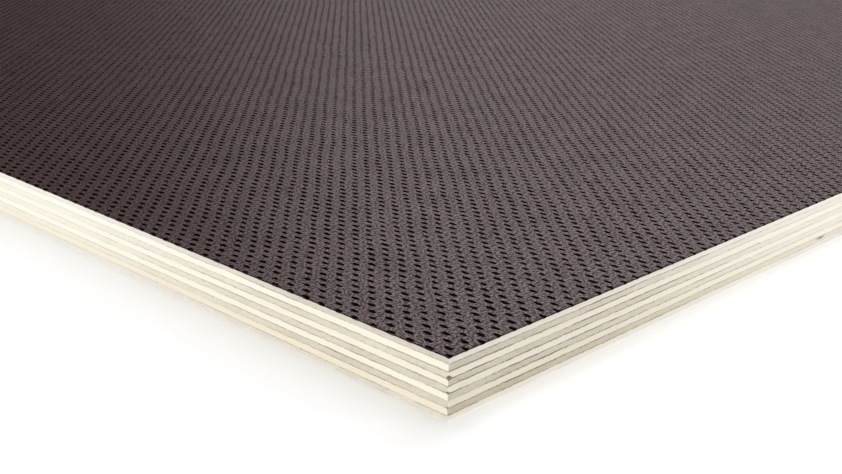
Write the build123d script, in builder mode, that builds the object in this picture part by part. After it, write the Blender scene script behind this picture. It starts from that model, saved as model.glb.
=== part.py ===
"""Anti-slip plywood sheet: thin veneers glued with their grain crossed, faced with one dark film.

The sheet lies flat, centred on the origin, with its underside on z = 0.
X runs along the length, which is the way of the grain in the face veneer.
"""

import os

from build123d import *

# Outside size of the sheet as sold
sheet_length = 2500.0
sheet_width = 1250.0

# Layers of the lay-up
face_veneer_thickness = 1.12  # top and back veneers, sanded after pressing
inner_veneer_thickness = 1.36
inner_veneer_count = 7
film_thickness = 0.24  # hot-pressed on to the top veneer


def laid_on(underside, thickness, name):
    """Lay one full-size layer at a height, write it out and give the height of its top."""
    with BuildPart() as layer:
        with BuildSketch(Plane.XY.offset(underside)):
            Rectangle(sheet_length, sheet_width)
        extrude(amount=thickness)
    layer.part.label = name
    export_step(layer.part, f"parts/{name}.step")
    return underside + thickness


os.makedirs("parts", exist_ok=True)

# Veneers are numbered from the top face down, so the lay-up starts with the last one.
# The odd ones have their grain along the length and the even ones across it.
face_veneers = [face_veneer_thickness]
inner_veneers = [inner_veneer_thickness] * inner_veneer_count
veneer_thicknesses = face_veneers + inner_veneers + face_veneers
veneer_count = len(veneer_thicknesses)

top_of_stack = 0
for number in range(veneer_count, 0, -1):
    grain = "long" if number % 2 else "cross"
    thickness = veneer_thicknesses[number - 1]
    top_of_stack = laid_on(top_of_stack, thickness, f"veneer_{number}_{grain}_grain")

sheet_thickness = laid_on(top_of_stack, film_thickness, "anti_slip_film")
print(f"sheet {sheet_length} x {sheet_width} x {sheet_thickness:.2f} mm, {veneer_count} veneers and a film")
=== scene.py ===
# %% [markdown]
# # An anti-slip plywood sheet
# The sheet lies flat on a pale floor and the camera looks down on one corner of it. A sheet like
# this is made of thin veneers, glued with their grain crossed, and a dark film that is pressed on
# to the top veneer with a woven wire mesh, which leaves rows of small pits. The solids come from
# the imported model, so this lesson only adds what shows: the finish of the film, the sawn edges of
# the veneers and the bare wood underneath.

import bpy
import numpy as np
from mathutils import Matrix, Vector


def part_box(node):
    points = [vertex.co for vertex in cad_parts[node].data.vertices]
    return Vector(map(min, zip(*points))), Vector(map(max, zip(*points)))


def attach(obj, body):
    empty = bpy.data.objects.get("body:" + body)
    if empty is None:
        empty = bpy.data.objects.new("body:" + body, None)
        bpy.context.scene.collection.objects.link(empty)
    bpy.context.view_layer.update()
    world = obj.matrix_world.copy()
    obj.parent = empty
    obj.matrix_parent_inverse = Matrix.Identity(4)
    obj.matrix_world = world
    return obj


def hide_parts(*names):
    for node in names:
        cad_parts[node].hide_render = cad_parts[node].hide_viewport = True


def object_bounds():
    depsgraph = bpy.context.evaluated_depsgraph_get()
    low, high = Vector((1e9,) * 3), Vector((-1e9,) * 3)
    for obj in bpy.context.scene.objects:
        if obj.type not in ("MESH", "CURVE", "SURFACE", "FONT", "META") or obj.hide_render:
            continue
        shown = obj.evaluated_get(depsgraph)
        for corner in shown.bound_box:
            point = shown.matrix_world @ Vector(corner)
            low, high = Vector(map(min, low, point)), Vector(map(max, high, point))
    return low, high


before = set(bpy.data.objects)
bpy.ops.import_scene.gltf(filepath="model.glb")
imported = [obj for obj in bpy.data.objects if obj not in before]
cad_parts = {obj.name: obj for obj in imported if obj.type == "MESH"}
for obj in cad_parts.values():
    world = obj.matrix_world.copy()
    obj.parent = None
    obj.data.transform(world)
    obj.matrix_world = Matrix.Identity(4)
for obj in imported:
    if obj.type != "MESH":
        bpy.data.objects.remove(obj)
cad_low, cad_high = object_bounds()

print("nodes:", ", ".join(sorted(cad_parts)))
print("box:", tuple(cad_low), tuple(cad_high))

# %% [markdown]
# ## Sizes
# The real sheet is cut to a stock size, and its veneers are peeled to nearly one thickness. These
# sizes could be typed in again, but then a changed model would no longer fit its looks. So they are
# read from the frame, and the small ones that the model doesn't hold are given in millimetres.
# Blender works in metres, so one factor turns millimetres into scene units. The veneers are found
# by their names and sorted from the back veneer up to the face veneer.

# %% Sizes from the frame
MM = 0.001
veneer_nodes = sorted((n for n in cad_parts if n.startswith("veneer")), reverse=True)
length = cad_high.x - cad_low.x
width = cad_high.y - cad_low.y
veneer_heights = [(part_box(n)[0].z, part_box(n)[1].z) for n in veneer_nodes]
veneers_top = veneer_heights[-1][1]
face_mm = (veneer_heights[0][1] - veneer_heights[0][0]) / MM
inner_mm = (veneer_heights[1][1] - veneer_heights[1][0]) / MM
print(f"{len(veneer_nodes)} veneers, face {face_mm:.2f} mm, inner {inner_mm:.2f} mm")

# %% [markdown]
# ## Camera
# The camera could be moved by eye until the picture looks right, but a box seen in perspective
# gives its camera away. Its edges run to two vanishing points, and with those two points and the
# middle of the picture the focal length follows: the two directions have to be square to each
# other. The height of the near corner in pixels then sets the distance. This is steadier than
# moving by eye, and every number in it can be read off the picture.

# %% Directions from two vanishing points
FRAME_SIZE = (842, 474)
LEFT_VANISHING = (-868.1, -188.8)  # the short edge runs here
RIGHT_VANISHING = (1628.0, -138.9)  # the long edge runs here

picture_middle = np.array(FRAME_SIZE) / 2
to_right = np.array(RIGHT_VANISHING) - picture_middle
to_left = np.array(LEFT_VANISHING) - picture_middle
focal = np.sqrt(-to_right @ to_left)


def direction(across_and_down):
    """A unit vector of the picture: to the right, down and away from the camera."""
    vector = np.array([*across_and_down, focal])
    return vector / np.linalg.norm(vector)


x_axis = direction(to_right)
y_axis = direction(to_left)
z_axis = np.cross(x_axis, y_axis)
axes = np.array([x_axis, y_axis, z_axis])
print(f"focal length {focal:.0f} px, length of the third axis {np.linalg.norm(z_axis):.6f}")

# %% The camera
NEAR_CORNER = (448.9, 358.6)  # where the film's lower edge turns the corner
CORNER_FOOT_Y = 422.0
SENSOR = 36.0
CLIP_START = 0.01


def add_object(name, data):
    """A new object in the scene."""
    made = bpy.data.objects.new(name, data)
    bpy.context.collection.objects.link(made)
    return made


corner_ray = np.array([*(np.array(NEAR_CORNER) - picture_middle), focal]) / focal
foot_down = CORNER_FOOT_Y - picture_middle[1]
drop = (veneers_top - cad_low.z) * (focal * z_axis[1] - foot_down * z_axis[2])
corner_seen = corner_ray * drop / (NEAR_CORNER[1] - CORNER_FOOT_Y)
near_corner = np.array([cad_low.x, cad_low.y, veneers_top])

camera = add_object("camera", bpy.data.cameras.new("camera"))
turn = Matrix((axes * (1, -1, -1)).tolist()).to_4x4()
camera.matrix_world = Matrix.Translation(near_corner - axes @ corner_seen) @ turn
camera.data.sensor_width = SENSOR
camera.data.lens = focal / FRAME_SIZE[0] * SENSOR
camera.data.clip_start = CLIP_START
bpy.context.scene.camera = camera
bpy.context.scene.view_settings.view_transform = "Standard"
print(f"lens {camera.data.lens:.1f} mm, at {tuple(camera.location)}")

# %% [markdown]
# ## Sums in a shader
# A finish that comes from nodes is mostly arithmetic on coordinates. Written node by node it is
# hard to read, so one small class wraps an output socket and turns each Python operator into the
# Math node that it means. Everything else comes from its `node` method. Colours and vectors keep
# to Mix and Vector Math nodes, because a Math node would make them grey.


# %% A socket that can stand in a sum
class Wire:
    """One output socket of a node tree. An operator on it adds a Math node."""

    def __init__(self, tree, socket):
        self.tree = tree
        self.socket = socket

    @classmethod
    def node(cls, tree, kind, settings=(), sockets=(), output=0):
        """Add a node: its settings first, then the values or links of its sockets."""
        made = tree.nodes.new(kind)
        for name, value in dict(settings).items():
            setattr(made, name, value)
        for key, value in dict(sockets).items():
            if isinstance(value, cls):
                tree.links.new(value.socket, made.inputs[key])
            else:
                made.inputs[key].default_value = value
        return cls(tree, made.outputs[output]) if len(made.outputs) else None

    def math(self, operation, *others):
        """This value first, then the others, through one Math node."""
        values = dict(enumerate((self, *others)))
        return Wire.node(self.tree, "ShaderNodeMath", {"operation": operation}, values)

    def __add__(self, other):
        return self.math("ADD", other)

    __radd__ = __add__

    def __mul__(self, other):
        return self.math("MULTIPLY", other)

    __rmul__ = __mul__

    def __sub__(self, other):
        return self.math("SUBTRACT", other)

    def __rsub__(self, other):
        return (self * -1) + other

    def __truediv__(self, other):
        return self.math("DIVIDE", other)

    def __abs__(self):
        return self.math("ABSOLUTE")


print("a Wire adds a Math node for each of + - * / and abs")

# %% [markdown]
# ## Floor
# The sheet lies on plain white, like something put down on paper in a studio. A sweep of paper that
# curves up behind would hide the end of the floor, but the camera looks down and never sees that
# end, so one large flat square is enough. It only scatters light, so it takes the soft shadow of
# the sheet and mirrors nothing.

# %% The floor
FLOOR_HALF = 40.0  # metres
FLOOR_COLOUR = (0.99, 0.99, 0.99, 1.0)
FLOOR_CORNERS = ((-1, -1), (1, -1), (1, 1), (-1, 1))


def new_finish(name):
    """An empty material's node tree, and the material."""
    material = bpy.data.materials.new(name)
    material.use_nodes = True
    material.node_tree.nodes.clear()
    return material.node_tree, material


def end_in(shader):
    """Lead a shader to the output of its material."""
    Wire.node(shader.tree, "ShaderNodeOutputMaterial", (), {"Surface": shader})


floor_tree, floor_finish = new_finish("pale_floor")
end_in(Wire.node(floor_tree, "ShaderNodeBsdfDiffuse", (), {"Color": FLOOR_COLOUR}))
floor_mesh = bpy.data.meshes.new("floor")
floor_points = [(x * FLOOR_HALF, y * FLOOR_HALF, cad_low.z) for x, y in FLOOR_CORNERS]
floor_mesh.from_pydata(floor_points, [], [(0, 1, 2, 3)])
floor_mesh.materials.append(floor_finish)
floor = add_object("floor", floor_mesh)
print(f"floor of {2 * FLOOR_HALF:.0f} m at a height of {cad_low.z} m")

# %% [markdown]
# ## Light
# A studio lights a sheet with softboxes, and Blender's area lights are just that. A picture of a
# whole room could give the light too, but four lights are easier to steer. One overhead lights the
# face. One from the front, on the short side's hand, makes that sawn edge the brighter of the two,
# and a weak one fills the long side. A wide one stands behind, to the right. It adds about a fifth
# of the light, but it is there because the film mirrors it dimly: the film is greyer on that side
# and darker on the other, where it mirrors only the dim room.

# %% Room and softboxes
ROOM_LIGHT = 0.11
WHITE = (1.0, 1.0, 1.0)
ROSE = (1.0, 0.88, 0.905)

world = bpy.data.worlds.new("room")
world.use_nodes = True
room = world.node_tree.nodes["Background"]
room.inputs["Color"].default_value = (*WHITE, 1.0)
room.inputs["Strength"].default_value = ROOM_LIGHT
bpy.context.scene.world = world


def softbox(name, place, aim, size, watts, colour=WHITE):
    """A rectangular area light that looks from its place to its aim, in metres."""
    data = bpy.data.lights.new(name, "AREA")
    data.shape = "RECTANGLE"
    data.size, data.size_y = size
    data.energy = watts
    data.color = colour
    box = add_object(name, data)
    turned = (Vector(aim) - Vector(place)).to_track_quat("-Z", "Y").to_matrix().to_4x4()
    box.matrix_world = Matrix.Translation(place) @ turned
    box.visible_camera = False


softbox("overhead", place=(0.0, 0.0, 4.5), aim=(0.0, 0.0, 0.0), size=(5.0, 4.0), watts=155.0)
softbox("front_left", place=(-5.6, -2.9, 1.7), aim=(-1.0, -0.5, 0.0), size=(2.4, 1.6), watts=190.0)
softbox("front_right", place=(3.0, -5.5, 2.0), aim=(-0.6, -0.6, 0.0), size=(2.5, 1.6), watts=75.0)
softbox("back_right", place=(5.95, 2.86, 5.1), aim=(-1.2, -0.6, 0.0), size=(8.4, 4.0), watts=425.0,
        colour=ROSE)

# %% [markdown]
# ## Patterns from places
# Film and wood are both patterned, and on both a pattern can be worked out from the place on the
# surface. A painted picture would need a huge number of pixels for a sheet this long, while a sum
# is as sharp close by as it is far off. These helpers take a place apart and put it together, turn
# it into noise or chance, and soften a limit into a step.


# %% Places
def scaled(vector, factors):
    """A vector with each part multiplied by its own factor."""
    settings = {"operation": "MULTIPLY"}
    return Wire.node(vector.tree, "ShaderNodeVectorMath", settings, {0: vector, 1: factors})


def split(vector):
    """The three parts of a vector."""
    parts = Wire.node(vector.tree, "ShaderNodeSeparateXYZ", (), {"Vector": vector})
    return [Wire(vector.tree, socket) for socket in parts.socket.node.outputs]


def joined(tree, x, y, z):
    """A vector from three values."""
    return Wire.node(tree, "ShaderNodeCombineXYZ", (), {"X": x, "Y": y, "Z": z})


def from_middle(x, y):
    """Distance from the middle of an oval whose rim is at 1."""
    return (x * x + y * y).math("SQRT")


print("helpers:", ", ".join(f.__name__ for f in (scaled, split, joined, from_middle)))

# %% Noise, chance and steps
FINER = {"detail": 3.0, "roughness": 0.6}  # noise with more small bumps on its bumps


def noise(place, detail=2.0, roughness=0.5):
    """Smooth noise with about one bump to each unit of place."""
    sockets = {"Vector": place, "Scale": 1.0, "Detail": detail, "Roughness": roughness}
    return Wire.node(place.tree, "ShaderNodeTexNoise", {"noise_dimensions": "3D"}, sockets)


def chances(place):
    """Three random numbers from 0 to 1 for each whole-numbered place."""
    settings, sockets = {"noise_dimensions": "3D"}, {"Vector": place}
    return split(Wire.node(place.tree, "ShaderNodeTexWhiteNoise", settings, sockets, "Color"))


def step(value, low, high):
    """0 below low, 1 above high and a smooth rise between them."""
    settings = {"interpolation_type": "SMOOTHSTEP"}
    sockets = {"Value": value, "From Min": low, "From Max": high}
    return Wire.node(value.tree, "ShaderNodeMapRange", settings, sockets)


def between(share, first, second):
    """The first number where share is 0 and the second where it is 1."""
    return first + share * (second - first)


print("helpers:", ", ".join(f.__name__ for f in (noise, chances, step, between)))

# %% [markdown]
# ## The imprint of the mesh
# The film was pressed with a mesh of woven wire. Each knuckle of a wire along the short side left
# a deep, narrow pit, and each knuckle of a crossing wire left a faint dash, on the places between,
# like the two colours of a chessboard. There are hundreds of thousands of pits, far too many to
# model. So each place on the film counts the wires to its nearest crossing, and chance moves and
# shrinks each knuckle a little, alone and together with its neighbours.

# %% Pits and dashes
PITCH_X = 2.1  # from one wire to the next, along the sheet
PITCH_Y = 2.28
FIRST_PIT = (0.37, 0.43)  # from the near corner
PIT_HALF_SIZE = (0.525, 1.1)
DASH_HALF_SIZE = (0.62, 0.24)
PIT_BLUR, DASH_BLUR = 0.22, 0.8  # of the rim, in half sizes
SLANT = 0.1
OFF_CROSSING = 0.25  # a knuckle's freedom, both ways together
KNUCKLE_RIM = 1.27  # in half sizes, before chance makes a knuckle smaller
SMALLER_ALONE = 0.2
SMALLER_TOGETHER = 0.36
PATCHES = 0.33  # of neighbours, to one repeat of the mesh
PATCHES_APART = 9.0  # so that two grids don't share them


def knuckles(across, along, shift, half_size, blur):
    """Knuckles on a plain grid: 1 at the middle of each and 0 between them."""
    column = (across - FIRST_PIT[0]) / (2 * PITCH_X) + shift[0]
    row = (along - FIRST_PIT[1]) / (2 * PITCH_Y) + shift[1]
    cell = joined(across.tree, column.math("FLOOR"), row.math("FLOOR"), shift[0] - shift[1])
    own, aside, ahead = chances(cell)
    y = (row.math("FRACT") - 0.5) * (2 * PITCH_Y) + (ahead - 0.5) * OFF_CROSSING
    x = (column.math("FRACT") - 0.5) * (2 * PITCH_X) + (aside - 0.5) * OFF_CROSSING - y * SLANT
    distance = from_middle(x / half_size[0], y / half_size[1])
    patch_at = joined(across.tree, column * PATCHES, row * PATCHES, shift[0] * PATCHES_APART)
    patch = noise(patch_at, detail=3.0, roughness=0.7)
    distance = distance + own * SMALLER_ALONE + patch * SMALLER_TOGETHER
    return 1 - step(distance, KNUCKLE_RIM - blur, KNUCKLE_RIM + blur)


def on_two_grids(across, along, shifts, half_size, blur):
    """Knuckles on two plain grids, as on the squares of one colour of a chessboard."""
    first, second = (knuckles(across, along, shift, half_size, blur) for shift in shifts)
    return first.math("MAXIMUM", second)


def pits_at(across, along):
    """Deep pits, on every second crossing of the mesh."""
    return on_two_grids(across, along, ((0.5, 0.5), (0.0, 0.0)), PIT_HALF_SIZE, PIT_BLUR)


def dashes_at(across, along):
    """Faint dashes, on the crossings between."""
    return on_two_grids(across, along, ((0.5, 0.0), (0.0, 0.5)), DASH_HALF_SIZE, DASH_BLUR)


print(f"about {length * width / MM ** 2 / (2 * PITCH_X * PITCH_Y):.0f} pits on the sheet")

# %% [markdown]
# ## The finish of the film
# The film is resin-soaked paper, dark brown and finely flecked, with a thin skin of clear resin
# that shines dully. In the pits the skin is missing, and the pits are painted nearly black: painted
# shade. A glossy base would be the simple way, but a clear coat over a dark base can be left out of
# the pits. The coat itself stays smooth, so the pits show by their colour and their missing coat
# more than by their height. The pattern is drawn on a map that counts repeats of one tile, so that
# it can be kept as one small picture.


# %% Colours and the end of a finish
def blend(share, first, second):
    """The first colour where share is 0 and the second where it is 1."""
    sockets = {0: share, 6: first, 7: second}
    return Wire.node(share.tree, "ShaderNodeMix", {"data_type": "RGBA"}, sockets, 2)


def shaded(colour, tint, share=1.0):
    """A colour multiplied by a tint, or by a value about 1."""
    settings = {"data_type": "RGBA", "blend_type": "MULTIPLY"}
    return Wire.node(colour.tree, "ShaderNodeMix", settings, {0: share, 6: colour, 7: tint}, 2)


def close_finish(tree, height_mm, varying, constant):
    """End a finish in one shader, with a height in millimetres as its bump."""
    bump_sockets = {"Height": height_mm, "Strength": 1.0, "Distance": MM}
    bump = Wire.node(tree, "ShaderNodeBump", (), bump_sockets)
    sockets = {"Normal": bump, **varying, **constant}
    end_in(Wire.node(tree, "ShaderNodeBsdfPrincipled", (), sockets))
    print(len(tree.nodes), "nodes for", ", ".join(varying))


print("helpers:", ", ".join(f.__name__ for f in (blend, shaded, close_finish)))

# %% Finish of the film
MAP = "OFBake"
TILE_REPEATS = (32, 30)
FILM_COLOUR = (0.011, 0.005, 0.0047, 1.0)
FILM_PALE = (0.073, 0.0335, 0.0315, 1.0)
# painted shade: the pits are painted nearly black, as if shade filled them
PIT_SHADE_COLOUR = (0.0035, 0.002, 0.002, 1.0)
WANDER_X, WANDER_Y = 0.4, 0.5  # of the rims of the pits, over a millimetre
MESH_SWAY = 1.0  # the wires' own freedom, over centimetres
FLECKS = (0.4, 0.68)  # dark below the first, pale above the second
CLOUD_SHADES = (0.8, 1.2)
DASH_SHADE = 0.45
FLECK_SHINE, CLOUD_SHINE = 1.1, 0.4
PIT_DEPTH, DASH_DEPTH, FLECK_HEIGHT = 0.24, 0.05, 0.06
FILM_ROUGHNESS = (0.6, 0.8)
tile_mm = (2 * PITCH_X * TILE_REPEATS[0], 2 * PITCH_Y * TILE_REPEATS[1], 0.0)


def imprinted(name):
    """Flecked film with pits and dashes."""
    tree, finish = new_finish(name)
    spot = scaled(Wire.node(tree, "ShaderNodeUVMap", {"uv_map": MAP}), tile_mm)

    def film_noise(x_bumps, y_bumps, **grain):
        """Noise with so many bumps to a millimetre, along the sheet and across it."""
        return noise(scaled(spot, (x_bumps, y_bumps, 1.0)), **grain)

    across, along = split(spot)[:2]
    sway = (film_noise(x_bumps=0.05, y_bumps=0.03, **FINER) - 0.5) * MESH_SWAY
    across = across + (film_noise(x_bumps=0.9, y_bumps=0.9) - 0.5) * WANDER_X + sway
    along = along + (film_noise(x_bumps=0.8, y_bumps=0.8) - 0.5) * WANDER_Y - sway
    pits = pits_at(across, along)
    dashes = dashes_at(across, along)
    fleck = film_noise(x_bumps=2.1, y_bumps=1.8, **FINER)
    cloud = film_noise(x_bumps=0.1, y_bumps=0.09, detail=4.0, roughness=0.65)
    paleness = step(fleck, *FLECKS)
    unmarked = 1 - dashes * DASH_SHADE
    colour = blend(paleness, FILM_COLOUR, FILM_PALE)
    colour = shaded(colour, unmarked * between(cloud, *CLOUD_SHADES))
    shine = (paleness * FLECK_SHINE + cloud * CLOUD_SHINE).math("MINIMUM", 1.0)
    varying = {
        # painted shade in the pits
        "Base Color": blend(pits, colour, PIT_SHADE_COLOUR),
        "Roughness": between(fleck, *FILM_ROUGHNESS),
        "Coat Weight": (1 - pits) * unmarked * shine,
    }
    constant = {"Specular IOR Level": 0.0, "Coat Roughness": 0.45, "Coat IOR": 1.5}
    height = fleck * FLECK_HEIGHT - pits * PIT_DEPTH - dashes * DASH_DEPTH
    close_finish(tree, height, varying, constant)
    return finish


film_finish = imprinted("imprinted_film")
print(f"{film_finish.name}, on a tile of {tile_mm[0]:.1f} by {tile_mm[1]:.1f} mm")

# %% [markdown]
# ## Places on the sawn edges
# What a sawn edge looks like depends on the height, which tells the veneer, and on the way along
# the edge. The edges are painted paler away from the corners, as painted light, and darker beside
# them, as painted shade, so their colour depends on the way to the nearest corner. The press
# squeezes soft wood more than hard wood, so the veneers' boundaries waver. That could be modelled,
# but a few tenths of a millimetre only show as colour.
# So one class works all these places out once for a finish.

# %% Places on the edges
LIGHT_AND_WAVER_FROM, LIGHT_AND_WAVER_TO = 8.0, 140.0  # from a corner, along the edge
WAVE = 0.6  # of the veneers' boundaries, over centimetres
WAVE_AT_CORNER = 0.15
FRAY = 0.45  # of the same boundaries, over millimetres
WAVE_BUMPS = (0.035, 0.35)  # to a millimetre, along the edge and up it
FRAY_BUMPS = (0.45, 0.9)
FRAY_APART = 5.0  # from the noise of the wave
SAME_NUMBER = 0.1  # how near two numbers count as the same


def place_in_mm(tree):
    """The place on a piece in millimetres: along the sheet, across it and up."""
    place = Wire.node(tree, "ShaderNodeTexCoord", (), (), "Object")
    return split(scaled(place, (1 / MM, 1 / MM, 1 / MM)))


class EdgePlaces:
    """Places on a sawn edge, in millimetres."""

    def __init__(self, tree):
        x, y, self.z = place_in_mm(tree)
        self.tree = tree
        self.run = x + y
        self.across = x - cad_low.x / MM
        self.along = y - cad_low.y / MM
        self.aside = self.across - self.along  # from the near corner, more than 0 on the long side
        self.away = self.across.math("MINIMUM", self.along)  # from the two sides that meet there
        from_corner = length / MM / 2 - abs(x) + width / MM / 2 - abs(y)
        # 0 beside a corner and 1 far from it: it sets the painted light and shade of the edges and
        #                                      the waver of the boundaries
        self.clean = step(from_corner, LIGHT_AND_WAVER_FROM, LIGHT_AND_WAVER_TO)
        wave = noise(joined(tree, self.run * WAVE_BUMPS[0], self.z * WAVE_BUMPS[1], 0.0)) - 0.5
        wave = wave * between(self.clean, WAVE_AT_CORNER, WAVE)
        fray_at = joined(tree, self.run * FRAY_BUMPS[0], self.z * FRAY_BUMPS[1], FRAY_APART)
        fray = (noise(fray_at, detail=4.0, roughness=0.6) - 0.5) * FRAY
        self.level = (self.z + wave + fray - face_mm) / inner_mm + 1
        self.number = self.level.math("FLOOR")  # 0 for the back veneer
        self.is_cross = (self.number * 0.5).math("FRACT") * 2

    def noise(self, run, up, apart=0.0, **grain):
        """Noise by its bumps to a millimetre, along the edge and up it, and to a veneer."""
        place = joined(self.tree, self.run * run, self.number * apart, self.z * up)
        return noise(place, **grain)

    def is_veneer(self, veneer):
        """1 on one veneer, counted from the film, and 0 on the others."""
        return self.number.math("COMPARE", len(veneer_nodes) - veneer, SAME_NUMBER)


print(f"edges get clean from {LIGHT_AND_WAVER_FROM:.0f} to {LIGHT_AND_WAVER_TO:.0f} mm from a corner")

# %% [markdown]
# ## Glue lines
# Between veneers lies a thin dark line of glue, stronger in some stretches than in others. It is
# painted darkest beside the corners and on the long side, as painted shade, and fainter far from
# the corners, as painted light. Thin strips between the layers could stand for it, but the lines
# are too thin and uneven for that. So the line is drawn over the colour of the wood, by the
# distance to the nearest boundary.

# %% Glue
GLUE_COLOUR = (0.20, 0.15, 0.085, 1.0)
# painted light: how much of a glue line is left far from the corners
GLUE_LEFT_IN_PAINTED_LIGHT = 0.3
GLUE_LONG_BUMPS = (0.05, 7.3)  # to a millimetre along the edge, and from line to line
GLUE_FINE_BUMPS = (1.1, 3.1, 2.0)  # the same, and to a millimetre up the edge
GLUE_LONG_SHARE = 0.65  # of long stretches in the chance of a line; the rest is fine
GLUE_CHANCE = (0.38, 0.6)  # weakest below the first, strongest above the second
GLUE_STRENGTHS = (0.2, 1.05)
GLUE_WIDTHS = (0.7, 1.2)  # of a line without strength, and of one at full strength
GLUE_RIM = (0.25, 1.0)  # full up to the first share of its reach, gone at the second


def glued(colour, places, reach, side_shade):
    """Draw the glue lines over a colour. They fade in and out along the edge."""
    level = places.level - 0.5
    distance = abs(level.math("FRACT") - 0.5) * inner_mm
    line = level.math("FLOOR")
    run, apart = GLUE_LONG_BUMPS
    long_stretches = noise(joined(places.tree, places.run * run, line * apart, 0.0), **FINER)
    run, apart, up = GLUE_FINE_BUMPS
    fine = noise(joined(places.tree, places.run * run, line * apart, places.z * up))
    chance = long_stretches * GLUE_LONG_SHARE + fine * (1 - GLUE_LONG_SHARE)
    strength = between(step(chance, *GLUE_CHANCE), *GLUE_STRENGTHS)
    distance = distance / between(strength, *GLUE_WIDTHS)
    # painted light and shade: the lines are fainter far from the corners, and darker on the long
    # side than on the short one
    strength = strength * between(places.clean, 1.0, GLUE_LEFT_IN_PAINTED_LIGHT) * side_shade
    return blend((1 - step(distance / reach, *GLUE_RIM)) * strength, colour, GLUE_COLOUR)


print(len(veneer_nodes) - 1, "glue lines on each edge")

# %% [markdown]
# ## Chips, a knot and a painted pale foot
# At the near corner three veneers have lost a chip, and the hollow is painted brown: partly the
# brown inside, partly painted shade. On the long side the saw cut through one small knot. Along the
# foot the saw tore the fibres, and the foot is painted pale, as painted light. Along the top the
# saw cut through pits, so that a little film hangs over the wood. Each could be a small piece of
# its own, but as marks in the colour they follow the edge. Each function below takes a colour and
# gives it back with its mark.

# %% Chips
# partly the brown inside a chip and partly painted shade in the hollow
CHIP_BROWN_AND_SHADE = (0.13, 0.07, 0.025, 1.0)
# veneer, then millimetres: middle of the mark along the edge, half width, half height
CHIP_MARKS = ((3, 0.2, 0.8, 0.45), (5, -0.05, 0.4, 0.28), (7, 0.0, 0.28, 0.2))
CHIP_INWARD = 0.3  # how fast a mark ends away from the two sides
CHIP_UP = 0.3  # of its half height, over the foot of the veneer
CHIP_RAGGED = (0.6, 1.4)
CHIP_RIM = (0.5, 1.2)  # full inside the first oval, gone outside the second
CHIP_SHARE = 0.9


def heights_of(veneer):
    """Bottom and top of a veneer in millimetres. Veneers are counted from the film."""
    low, high = veneer_heights[len(veneer_heights) - veneer]
    return low / MM, high / MM


def chipped(colour, places):
    """Brown hollows, partly painted shade, at the near corner, at the foot of three veneers."""
    ragged = between(places.noise(run=2.3, up=2.3), *CHIP_RAGGED)
    for veneer, middle, half_width, half_height in CHIP_MARKS:
        aside = (abs(places.aside - middle) + places.away * CHIP_INWARD) / half_width
        up = (places.z - heights_of(veneer)[0] - half_height * CHIP_UP) / half_height
        share = 1 - step(from_middle(aside, up) * ragged, *CHIP_RIM)
        # the chip is painted brown: partly the wood inside, partly painted shade
        colour = blend(share * CHIP_SHARE, colour, CHIP_BROWN_AND_SHADE)
    return colour


print("chips in the veneers", ", ".join(str(mark[0]) for mark in CHIP_MARKS))

# %% A knot
KNOT_COLOUR = (0.36, 0.29, 0.19, 1.0)
# veneer, then millimetres: from the near corner, half width, half height
PIN_KNOT = (8, 135.0, 2.7, 0.5)
KNOT_UP = 0.65  # of the veneer's thickness
KNOT_RAGGED = (0.55, 1.45)
KNOT_RIM = (0.2, 1.2)


def knotted(colour, places):
    """A pin knot that the saw cut through, in one veneer of the near long side."""
    veneer, middle, half_width, half_height = PIN_KNOT
    low, high = heights_of(veneer)
    ragged = between(places.noise(run=1.1, up=2.0), *KNOT_RAGGED)
    aside = (places.aside - middle) / half_width
    up = (places.z - (low + (high - low) * KNOT_UP)) / half_height
    distance = from_middle(aside, up) * ragged + places.away
    return blend(1 - step(distance, *KNOT_RIM), colour, KNOT_COLOUR)


print("a knot in veneer", PIN_KNOT[0], "at", PIN_KNOT[1], "mm from the near corner")

# %% Film along the top and painted light along the foot
PRESSED_FILM_DEPTH = 0.1
FILM_BLUR = 0.02
# painted light: the pale colour painted along the foot of the sheet
FOOT_LIGHT_COLOUR = (0.95, 0.93, 0.87, 1.0)
FOOT_LIGHT_WAVE = 0.6
FOOT_LIGHT_RIM = (0.3, 0.7)  # painted light below the first height, none above the second
FOOT_LIGHT_SHARE = 0.35


def rimmed(colour, places):
    """Film in the pits that the edge cuts, and a pale foot of painted light."""
    dip = pits_at(places.across, places.along) * PRESSED_FILM_DEPTH
    top = veneers_top / MM
    colour = blend(step(places.z + dip, top - FILM_BLUR, top + FILM_BLUR), colour, FILM_COLOUR)
    # painted light: the foot of the sheet is painted pale
    foot_light = 1 - step(places.z + places.noise(run=0.7, up=0.0) * FOOT_LIGHT_WAVE, *FOOT_LIGHT_RIM)
    return blend(foot_light * FOOT_LIGHT_SHARE, colour, FOOT_LIGHT_COLOUR)


print("film down to", PRESSED_FILM_DEPTH, "mm, fibres up to", FOOT_LIGHT_RIM[1], "mm")

# %% [markdown]
# ## The two looks of sawn wood
# Where the saw ran along the grain the wood is smooth and pale, with long fine streaks. Where it
# cut across the grain the open ends of the fibres look greyer and speckled, with short slanted
# cracks from the peeling knife. A veneer that shows one look on the long sides shows the other on
# the short ones. Each veneer could have finishes of its own, but one finish for a pair of sides
# knows every veneer by its height, and so draws the wavering lines between them as well.

# %% Wood sawn along the grain
ALONG_PALE = (0.87, 0.83, 0.71, 1.0)
ALONG_DEEP = (0.79, 0.74, 0.605, 1.0)
# painted light: the paler colour that the edges take far from the corners
ALONG_PAINTED_LIGHT = (0.93, 0.90, 0.79, 1.0)
ALONG_TONES = (0.42, 0.72)  # pale below the first, deep above the second
ALONG_STREAKS = 0.6  # their share of the tones; the rest is broad
PAINTED_LIGHT_SHARE = 0.85  # of the painted light colour, far from a corner


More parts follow.
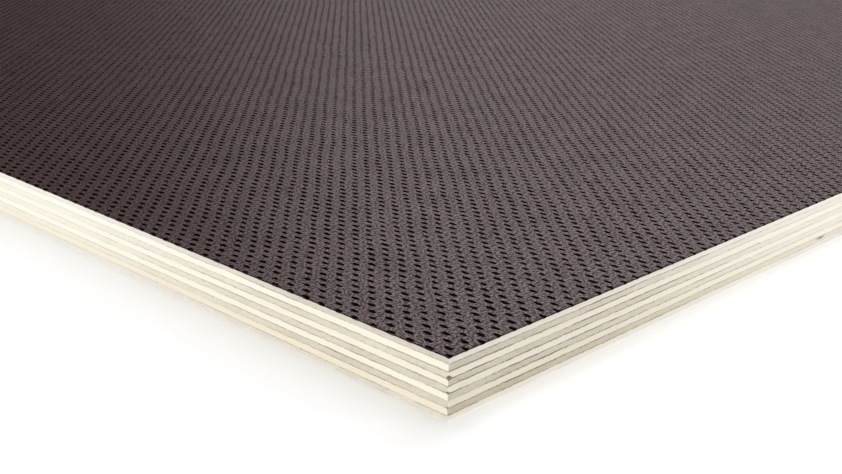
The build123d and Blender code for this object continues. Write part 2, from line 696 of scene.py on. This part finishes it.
def along_look(places):
    """Wood sawn along its grain: its colour and its texture."""
    streaks = places.noise(run=0.05, up=6.0, apart=5.3, detail=4.0, roughness=0.6)
    broad = places.noise(run=0.012, up=0.4, apart=9.1)
    tones = step(streaks * ALONG_STREAKS + broad * (1 - ALONG_STREAKS), *ALONG_TONES)
    colour = blend(tones, ALONG_PALE, ALONG_DEEP)
    # painted light: paler far from the corners
    return blend(places.clean * PAINTED_LIGHT_SHARE, colour, ALONG_PAINTED_LIGHT), streaks


print("along the grain", ALONG_PALE[:3], "to", ALONG_DEEP[:3])

# %% Wood sawn across the grain
END_PALE = (0.71, 0.665, 0.555, 1.0)
END_DEEP = (0.60, 0.555, 0.45, 1.0)
# painted light: the paler colour that the edges take far from the corners
END_PAINTED_LIGHT = (0.90, 0.87, 0.775, 1.0)
END_TONES = (0.36, 0.66)
END_SPECKS = 0.5
CRACKS = 0.42  # to a millimetre
CRACK_SLANT = 0.5
CRACK_STRAY = 3.0
CRACK_WIDTH = 0.03  # of the way from one crack to the next
CRACK_SHADE = 0.1


def end_look(places):
    """Wood sawn across its grain: its colour, its texture and its cracks."""
    specks = places.noise(run=4.5, up=5.0, apart=3.7, roughness=0.7)
    broad = places.noise(run=0.12, up=0.5, apart=6.1, **FINER)
    stray = places.noise(run=0.2, up=0.3, apart=2.9) * CRACK_STRAY
    crack_place = places.run * CRACKS + places.z * CRACK_SLANT + stray
    crack = 1 - step(abs(crack_place.math("FRACT") - 0.5), 0.0, CRACK_WIDTH)
    tones = step(broad * (1 - END_SPECKS) + specks * END_SPECKS, *END_TONES)
    # painted light: paler far from the corners
    colour = blend(places.clean * PAINTED_LIGHT_SHARE, blend(tones, END_PALE, END_DEEP), END_PAINTED_LIGHT)
    return shaded(colour, 1 - crack * CRACK_SHADE), specks, crack


print("across the grain", END_PALE[:3], "to", END_DEEP[:3])

# %% Finishes of the edges
VENEER_TINTS = {
    1: (0.955, 0.945, 0.985, 1.0),
    4: (0.985, 0.98, 0.97, 1.0),
    7: (1.0, 0.985, 0.965, 1.0),
    8: (0.965, 0.93, 0.89, 1.0),
    # painted light: the back veneer is painted lighter, standing in for light bounced from the
    # floor
    9: (1.07, 1.06, 1.08, 1.0),
}
BACK_AT_CORNER, BACK_AWAY = 1.05, 0.91  # for the back veneer alone
GLUE_REACH = (0.1, 0.21)  # millimetres of glue on wood sawn along the grain, and across it
STREAK_HEIGHT = 0.6  # beside the height of the specks
SAWN_HEIGHT = 0.05
CRACK_DEPTH = 0.05
SAWN_ROUGHNESS, TEXTURE_ROUGHNESS, END_ROUGHNESS = 0.55, 0.15, 0.1
BARE_WOOD = {"Specular IOR Level": 0.3}


def edge_finish(name, long_side, glue_side_shade, corner_shade):
    """The sawn edge of the whole stack, on a long side or on a short one."""
    tree, finish = new_finish(name)
    places = EdgePlaces(tree)
    along_colour, streaks = along_look(places)
    end_colour, specks, crack = end_look(places)
    is_end = places.is_cross if long_side else 1 - places.is_cross
    colour = blend(is_end, along_colour, end_colour)
    # painted shade: the edge is painted darker beside the corners, more on the long side
    colour = shaded(colour, between(places.clean, 1 - corner_shade, 1.0))
    for veneer, tint in VENEER_TINTS.items():
        colour = shaded(colour, tint, places.is_veneer(veneer))
    back_shade = between(places.clean, BACK_AT_CORNER, BACK_AWAY)
    colour = shaded(colour, back_shade, places.is_veneer(len(veneer_nodes)))
    colour = glued(colour, places, between(is_end, *GLUE_REACH), glue_side_shade)
    colour = rimmed(knotted(chipped(colour, places), places), places)
    texture = streaks * (1 - is_end) * STREAK_HEIGHT + specks * is_end
    height = texture * SAWN_HEIGHT - crack * is_end * CRACK_DEPTH
    roughness = texture * TEXTURE_ROUGHNESS + is_end * END_ROUGHNESS + SAWN_ROUGHNESS
    close_finish(tree, height, {"Base Color": colour, "Roughness": roughness}, BARE_WOOD)
    return finish


# painted shade: the long side is painted darker beside its corners, and its glue lines darker, than
# the short side
side_finishes = [
    edge_finish("sawn_long_side", long_side=True, glue_side_shade=1.0, corner_shade=0.11),
    edge_finish("sawn_short_side", long_side=False, glue_side_shade=0.6, corner_shade=0.0),
]
print("sides:", ", ".join(finish.name for finish in side_finishes))

# %% [markdown]
# ## The face of a veneer
# A veneer is peeled off a turning log like paper off a roll, so its face shows the growth rings as
# wide, wandering flames along the grain, with fine fibres over them. A picture of wood would do
# for a small board, but on a whole sheet its repeats would show. Noise that is drawn out along the
# grain never repeats, and rings come from cutting it into many equal steps. Only the underside of
# the back veneer can be seen, but all faces get this finish, turned with their grain.

# %% Finish of the veneer faces
FACE_PALE = (0.86, 0.79, 0.645, 1.0)
FACE_DEEP = (0.70, 0.595, 0.43, 1.0)
RINGS = 17.0
RING_RIM = (0.15, 0.5)
BAND_TONES, FIBRE_TONES = (0.35, 0.7), (0.35, 0.75)
FLAME_SHARE, BAND_SHARE, FIBRE_SHARE = 0.45, 0.35, 0.2
BANDS_APART = 3.0
FIBRE_HEIGHT = 0.02
FACE_ROUGHNESS = (0.55, 0.7)


def face_finish_for(name, with_grain):
    """Peeled wood with its grain along the sheet, or across it."""
    tree, finish = new_finish(name)
    x, y = place_in_mm(tree)[:2]
    along, across = (x, y) if with_grain else (y, x)

    def grain_noise(along_bumps, across_bumps, apart=0.0, **grain):
        """Noise with so many bumps to a millimetre, along the grain and across it."""
        return noise(joined(tree, along * along_bumps, across * across_bumps, apart), **grain)

    drift = grain_noise(along_bumps=0.0011, across_bumps=0.0055, roughness=0.45)
    rings = (drift * RINGS).math("FRACT")
    flame = step(abs(rings - 0.5), *RING_RIM)
    bands = grain_noise(along_bumps=0.002, across_bumps=0.06, apart=BANDS_APART, **FINER)
    fibre = grain_noise(along_bumps=0.06, across_bumps=2.2, **FINER)
    figure = flame * FLAME_SHARE + step(bands, *BAND_TONES) * BAND_SHARE
    figure = figure + step(fibre, *FIBRE_TONES) * FIBRE_SHARE
    colour = blend(figure, FACE_PALE, FACE_DEEP)
    varying = {"Base Color": colour, "Roughness": between(fibre, *FACE_ROUGHNESS)}
    close_finish(tree, fibre * FIBRE_HEIGHT, varying, BARE_WOOD)
    return finish


face_finishes = {
    "long": face_finish_for("face_grain_along", True),
    "cross": face_finish_for("face_grain_across", False),
}
print("faces:", ", ".join(finish.name for finish in face_finishes.values()))

# %% [markdown]
# ## Layers as meshes
# A layer is a flat box, but a sawn one isn't perfect: its arrises are a little eased, each veneer
# stands a hair in or out of its neighbours, and fibres have torn out here and there. A bevelled
# cube would ease the arrises alone. So each layer gets a rim of close points round its four sides,
# on a few levels from its bottom to its top, and each point is set in by its own small amount. The
# wide faces need no such detail: a coarse grid fills them.

# %% The rim of a layer
GRID = 50 * MM  # side of the coarse squares
RIM_STEPS = 12  # rim points to one coarse square
BESIDE_CORNER = np.array((0.4, 0.9, 1.6)) * MM
ROUNDING = 1e-6

grid_count = (round(length / GRID), round(width / GRID))
side_corners = np.array(((0, 0), (1, 0), (1, 1), (0, 1))) * (length, width)
side_ways = np.array(((1, 0), (0, 1), (-1, 0), (0, -1)))
side_lengths = (length, width, length, width)
low_xy = np.array((cad_low.x, cad_low.y))

rim_xy, rim_inward, rim_run, rim_side, rim_square = [], [], [], [], []
for k, side in enumerate(side_lengths):
    even = np.linspace(0.0, side, grid_count[k % 2] * RIM_STEPS + 1)
    on_side = np.unique(np.concatenate((even, BESIDE_CORNER, side - BESIDE_CORNER)))[:-1]
    inward = np.tile(side_ways[(k + 1) % 4], (len(on_side), 1))
    inward[0] += side_ways[k]
    rim_xy.append(low_xy + side_corners[k] + on_side[:, None] * side_ways[k])
    rim_inward.append(inward)
    rim_run.append(sum(side_lengths[:k]) + on_side)
    rim_side.append(np.full(len(on_side), k))
    rim_square.append(np.floor(on_side / GRID + ROUNDING).astype(int))
rim_xy, rim_inward = np.concatenate(rim_xy), np.concatenate(rim_inward)
rim_run = np.append(np.concatenate(rim_run), sum(side_lengths))
rim_side, rim_square = np.concatenate(rim_side), np.concatenate(rim_square)
rim_count = len(rim_xy)
print(rim_count, "rim points round", round(rim_run[-1], 3), "m")

# %% The cap of a layer
GRID_INSET = 12 * MM
columns, rows = grid_count
grid_x = np.linspace(cad_low.x + GRID_INSET, cad_high.x - GRID_INSET, columns + 1)
grid_y = np.linspace(cad_low.y + GRID_INSET, cad_high.y - GRID_INSET, rows + 1)


def grid_point(k, square):
    """The number, above the rim's, of the grid point at the start of a square on side k."""
    column = (square, columns, columns - square, 0)[k]
    row = (0, square, rows, rows - square)[k]
    return rim_count + row * (columns + 1) + column


def cap_faces():
    """Faces of a cap, counter-clockwise. The rim points have the numbers below rim_count."""
    faces = []
    for row in range(rows):
        for column in range(columns):
            corner = rim_count + row * (columns + 1) + column
            faces.append((corner, corner + 1, corner + columns + 2, corner + columns + 1))
    for k in range(4):
        for square in range(grid_count[k % 2]):
            outer = np.flatnonzero((rim_side == k) & (rim_square == square)).tolist()
            outer.append((outer[-1] + 1) % rim_count)
            faces.append((*outer, grid_point(k, square + 1), grid_point(k, square)))
    return faces


cap = cap_faces()
print(len(cap), "faces to a cap")


# %% The sides of a layer
def band_faces(levels):
    """The sides of a layer: each face's points, its corners on the map and its kind."""
    for ring, (low, high) in enumerate(zip(levels, levels[1:])):
        for i in range(rim_count):
            j = (i + 1) % rim_count
            start, end = rim_run[i], rim_run[i + 1]
            face = [ring * rim_count + p for p in (i, j, rim_count + j, rim_count + i)]
            yield face, ((start, low), (end, low), (end, high), (start, high)), rim_side[i]


print(rim_count, "faces to each band of the sides")

# %% A layer from its sides and its caps
TOP, BOTTOM = 4, 5  # kinds of faces; the sides are 0 to 3


def layer(name, heights, levels, insets, finishes, place_on_map):
    """A closed layer. Each level, a share of the thickness, has its own row of rim insets."""
    points = []
    for level, inset in zip(levels, insets):
        z = heights[0] + (heights[1] - heights[0]) * level
        points += [(x, y, z) for x, y in rim_xy + rim_inward * inset[:, None]]
    made = list(band_faces(levels))
    for kind, z, ring in ((TOP, heights[1], len(levels) - 1), (BOTTOM, heights[0], 0)):
        rim_start, grid_start = ring * rim_count, len(points) - rim_count
        points += [(x, y, z) for y in grid_y for x in grid_x]
        for numbers in cap:
            face = [p + (rim_start if p < rim_count else grid_start) for p in numbers]
            face = face if kind == TOP else face[::-1]
            spot = [(points[p][0] - cad_low.x, points[p][1] - cad_low.y) for p in face]
            made.append((face, spot, kind))
    faces, spots, kinds = zip(*made)
    mesh = bpy.data.meshes.new(name)
    mesh.from_pydata(points, [], faces)
    used = list(dict.fromkeys(finishes))
    for finish in used:
        mesh.materials.append(finish)
    finish_numbers = np.array([used.index(finish) for finish in finishes])
    mesh.polygons.foreach_set("material_index", finish_numbers[list(kinds)])
    on_map = [place_on_map(kind, np.array(spot)) for kind, spot in zip(kinds, spots)]
    mesh.uv_layers.new(name=MAP).data.foreach_set("uv", np.concatenate(on_map).ravel())
    return add_object(name, mesh)


print("kinds of faces:", BOTTOM + 1)

# %% [markdown]
# ## The film piece
# The film is trimmed with the sheet, and its upper arris is a hair eased. A plain flat face could
# show the film too, but then its thin dark edge would be missing over the pale veneers. Its map
# counts tiles from the near corner, so the pattern starts there as it does on the edge below. The
# underside and the trimmed edge are moved whole tiles away, off the one tile that a picture of the
# pattern covers.

# %% The film
FILM_NODE = "anti_slip_film"
FILM_LEVELS = (0.0, 0.6, 1.0)
FILM_INSETS = (0.0, 0.0, 0.08)
TILES_AWAY = 40.0
TRIM_ROW = 0.3  # of a tile, up the map


def film_map(kind, spot):
    """Tiles from the near corner."""
    if kind == TOP:
        return spot / MM / tile_mm[:2]
    if kind == BOTTOM:
        return spot / MM / tile_mm[:2] - TILES_AWAY
    along_trim = spot[:, 0] / MM / tile_mm[0] + TILES_AWAY
    return np.column_stack((along_trim, TILES_AWAY + TRIM_ROW + spot[:, 1] / tile_mm[1]))


film_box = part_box(FILM_NODE)
film_heights = (film_box[0].z, film_box[1].z)
film_insets = [np.full(rim_count, inset * MM) for inset in FILM_INSETS]
film = layer("film", film_heights, FILM_LEVELS, film_insets, [film_finish] * 6, film_map)
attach(film, "root")
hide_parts(FILM_NODE)
print("film:", len(film.data.polygons), "faces")

# %% [markdown]
# ## The veneer pieces
# All nine veneers are made alike. A veneer whose grain runs along the sheet shows an edge along
# the grain on the two long sides and an edge across it on the short ones; its neighbours show the
# opposite. Sculpting nine ragged edges by hand would take days, so chance decides how far each one
# stands in and where its arrises are torn, and at the near corner three have lost a chip. The map
# lays the thin edge out in short rows, one over another, so that a picture of it keeps the fine
# detail, and the back veneer leaves half for its underside.

# %% How far a veneer stands in
STANDS_IN = 0.03
SIDE_WAVE = 0.03
SIDE_WAVE_REACH = 5  # rim points to either side
ARRIS = 0.02
TEARS = 0.10
BACK_TEARS = 0.30
TEAR_RARITY = 6
CHIP_DEPTHS = {3: 0.5, 5: 0.35, 7: 0.25}
CHIP_REACH = 1.0
CHIP_DEPTH_ABOVE = 0.6  # of its depth at the foot


def wavering(luck, reach):
    """A smooth random run round the rim, from 0 to 1."""
    values = luck.random(rim_count)
    values = sum(np.roll(values, shift) for shift in range(-reach, reach + 1))
    return (values - values.min()) / np.ptp(values)


def veneer_insets(luck, veneer, lower_tears):
    """Insets of the rim on four levels, from the bottom of a veneer to its top."""
    body = luck.random() * STANDS_IN + wavering(luck, SIDE_WAVE_REACH) * SIDE_WAVE
    lower = body + ARRIS + luck.random(rim_count) ** TEAR_RARITY * lower_tears
    upper = body + ARRIS + luck.random(rim_count) ** TEAR_RARITY * TEARS
    to_corner = np.minimum(rim_run[:-1], rim_run[-1] - rim_run[:-1]) / MM
    chip = CHIP_DEPTHS.get(veneer, 0.0) * np.clip(1 - to_corner / CHIP_REACH, 0, 1)
    above = body + chip * CHIP_DEPTH_ABOVE
    return [inset * MM for inset in (lower + chip, above, body, upper)]


print("chips up to", max(CHIP_DEPTHS.values()), "mm deep, tears up to", BACK_TEARS, "mm")

# %% Nine veneers
VENEER_LEVELS = (0.0, 0.12, 0.9, 1.0)
ROW = 125 * MM  # length of edge on one row of the map
ROW_COUNT = round(rim_run[-1] / ROW)
ROW_HEIGHT = 1 / 64
MAP_GAP = 0.005


def veneer_map(row_height, underside):
    """Rows of edge up the map, and above them the two faces, one of them wide if it can be seen."""
    strip = ROW_COUNT * row_height
    middle = 0.5 if underside else (1 + strip) / 2
    faces = {TOP: (strip + MAP_GAP, middle - MAP_GAP), BOTTOM: (middle, 1.0)}

    def place_on_map(kind, spot):
        if kind in faces:
            low, high = faces[kind]
            return np.column_stack((spot[:, 0] / length, low + spot[:, 1] / width * (high - low)))
        row = np.floor(spot[:, 0].mean() / ROW)
        return np.column_stack((spot[:, 0] / ROW - row, (row + spot[:, 1]) * row_height))

    return place_on_map


for order, node in enumerate(veneer_nodes):
    last = order == 0
    face_finish = face_finishes["long" if "long" in node else "cross"]
    finishes = [*side_finishes, *side_finishes, face_finish, face_finish]
    luck = np.random.default_rng(order + 1)
    insets = veneer_insets(luck, len(veneer_nodes) - order, BACK_TEARS if last else TEARS)
    placing = veneer_map(ROW_HEIGHT / 2 if last else ROW_HEIGHT, last)
    heights = veneer_heights[order]
    piece = layer(node + "_sawn", heights, VENEER_LEVELS, insets, finishes, placing)
    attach(piece, "root")
    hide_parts(node)
print(len(veneer_nodes), "veneers of", len(piece.data.polygons), "faces")
